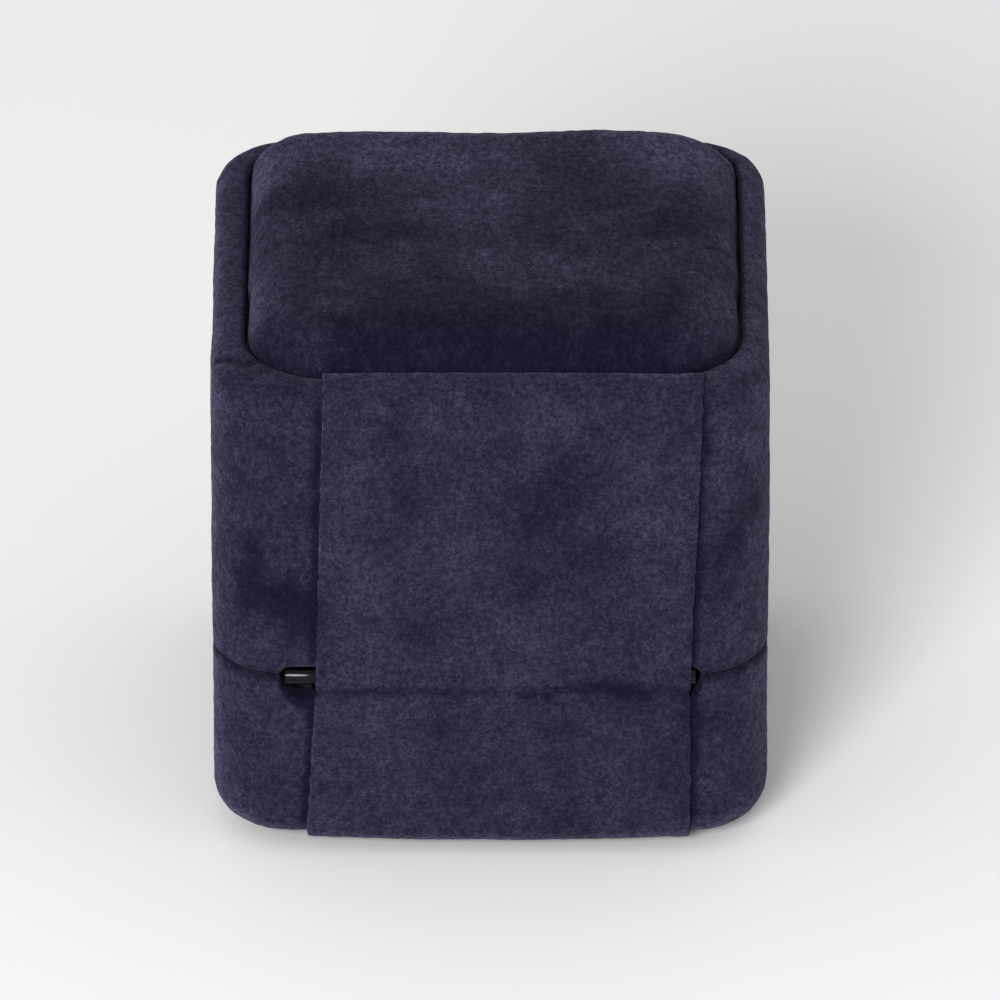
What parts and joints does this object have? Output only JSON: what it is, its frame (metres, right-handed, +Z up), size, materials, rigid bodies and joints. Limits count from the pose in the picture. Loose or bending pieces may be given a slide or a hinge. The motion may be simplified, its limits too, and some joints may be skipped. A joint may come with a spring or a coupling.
{
  "type": "ring box",
  "caption": "Small velvet-covered hinged ring box with a padded panel in the lid and two padded rolls that grip a ring.",
  "frame": {"origin": "middle of the closed box's footprint, on the surface that it stands on", "axes": "+Z up; the box opens at the front, -Y; the hinge is at the back, +Y; +X to the right seen from the front"},
  "size_m": [0.05, 0.0506, 0.0509],
  "materials": {
    "velvet": "short-pile plush velvet, dark indigo, soft sheen with brushed patches",
    "plastic": "moulded, dark, matt",
    "card": "dark dyed board",
    "foam": "open-cell foam",
    "satin": "satin weave, soft gloss",
    "steel": "stamped sheet steel with a dark bright-nickel plating"
  },
  "bodies": {
    "base": {"base_shell": "plastic", "base_velvet": "velvet", "bottom_card": "velvet", "insert_card": "card", "front_roll_foam": "foam", "front_roll_velvet": "velvet", "rear_roll_foam": "foam", "rear_roll_velvet": "velvet", "hinge_base_leaf": "steel", "hinge_pin": "steel", "snap_spring": "steel", "spring_rivet": "steel", "base_rivet_left": "steel", "base_rivet_right": "steel", "hinge_strip_lower": "velvet"},
    "lid": {"lid_shell": "plastic", "lid_velvet": "velvet", "top_pad_board": "card", "top_pad_foam": "foam", "top_pad_velvet": "velvet", "lid_lining": "satin", "ceiling_card": "card", "ceiling_foam": "foam", "ceiling_satin": "satin", "hinge_lid_leaf": "steel", "lid_rivet_left": "steel", "lid_rivet_right": "steel", "hinge_strip_upper": "velvet"}
  },
  "joints": [
    {"name": "lid_hinge", "type": "hinge", "parent": "base", "child": "lid", "pos_m": [0, 0.0242, 0.0182], "axis": [-1, 0, 0], "range_deg": [0, 100]}
  ]
}
